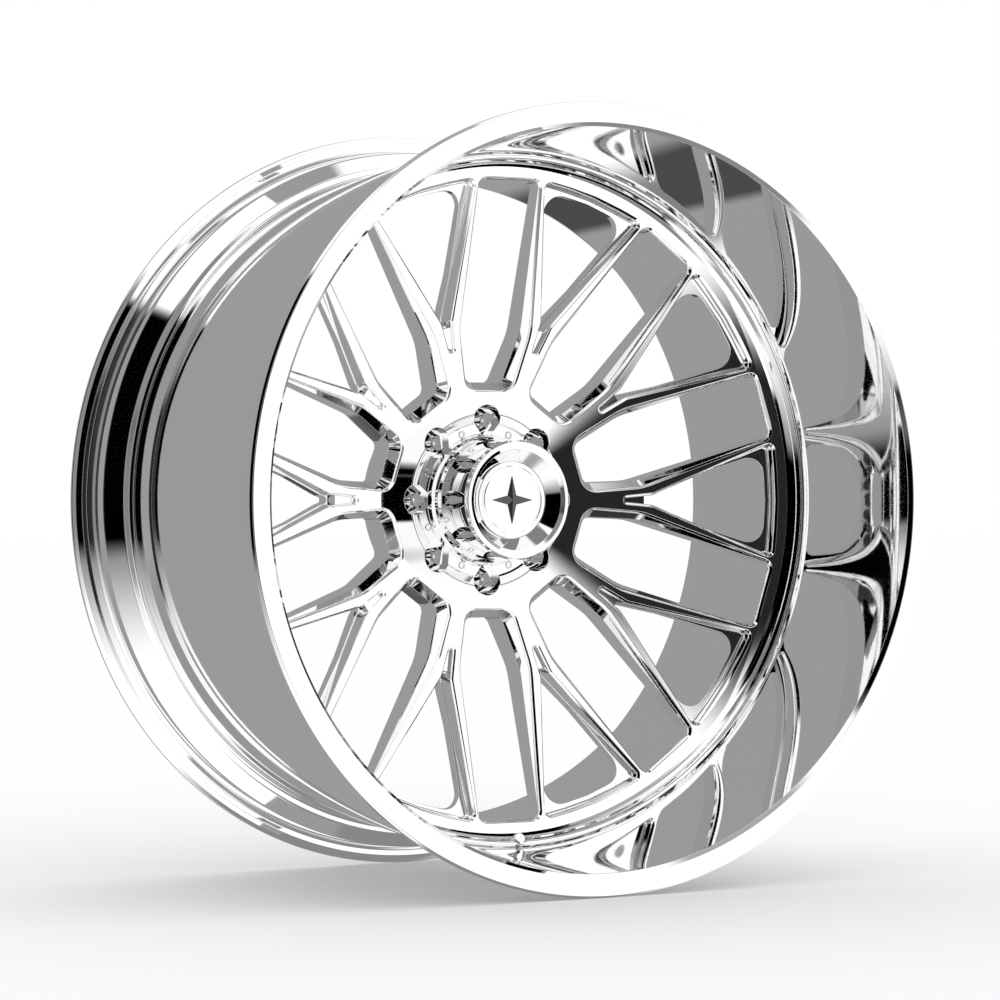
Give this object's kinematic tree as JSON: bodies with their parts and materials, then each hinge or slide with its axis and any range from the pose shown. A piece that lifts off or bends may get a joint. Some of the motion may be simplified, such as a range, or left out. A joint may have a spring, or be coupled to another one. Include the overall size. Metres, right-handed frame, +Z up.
{
  "type": "wheel rim",
  "caption": "Deep-lip forged wheel rim with paired spokes, a bolted centre cap and a clamp-in tyre valve.",
  "frame": {"origin": "on the wheel's axis, halfway between the two outer flange faces", "axes": "+Y along the wheel's axis towards the vehicle, -Y towards the show side, +Z up"},
  "size_m": [0.8018, 0.429, 0.8018],
  "materials": {
    "polished_alloy": "mirror polished forged aluminium",
    "chrome_trim": "chrome plated, mirror bright",
    "screw_steel": "bright plated steel",
    "dark_emblem": "gloss black",
    "seal_rubber": "matt black rubber",
    "valve_brass": "machined brass"
  },
  "bodies": {
    "wheel": {"barrel": "polished_alloy", "centre_disc": "polished_alloy", "cap_body": "chrome_trim", "cap_face_plate": "chrome_trim", "cap_emblem": "dark_emblem", "cap_oring": "seal_rubber", "cap_screw_1": "screw_steel", "cap_screw_2": "screw_steel", "cap_screw_3": "screw_steel", "cap_screw_4": "screw_steel", "cap_screw_5": "screw_steel", "cap_screw_6": "screw_steel", "cap_screw_7": "screw_steel", "cap_screw_8": "screw_steel", "valve_stem": "valve_brass", "valve_grommet_inner": "seal_rubber", "valve_grommet_outer": "seal_rubber", "valve_washer": "chrome_trim", "valve_nut": "chrome_trim", "valve_core_body": "valve_brass"},
    "core_pin": {"valve_core_pin": "valve_brass"},
    "dust_cap": {"valve_cap": "chrome_trim", "valve_cap_seal": "seal_rubber"}
  },
  "joints": [
    {"name": "core_pin_press", "type": "slide", "parent": "wheel", "child": "core_pin", "axis": [0, 0.848, -0.5299], "range_m": [0, 0.0012], "stiffness_N_per_m": 600, "springref_m": -0.0008},
    {"name": "dust_cap_off", "type": "slide", "parent": "wheel", "child": "dust_cap", "axis": [0, -0.848, 0.5299], "range_m": [0, 0.02]}
  ]
}
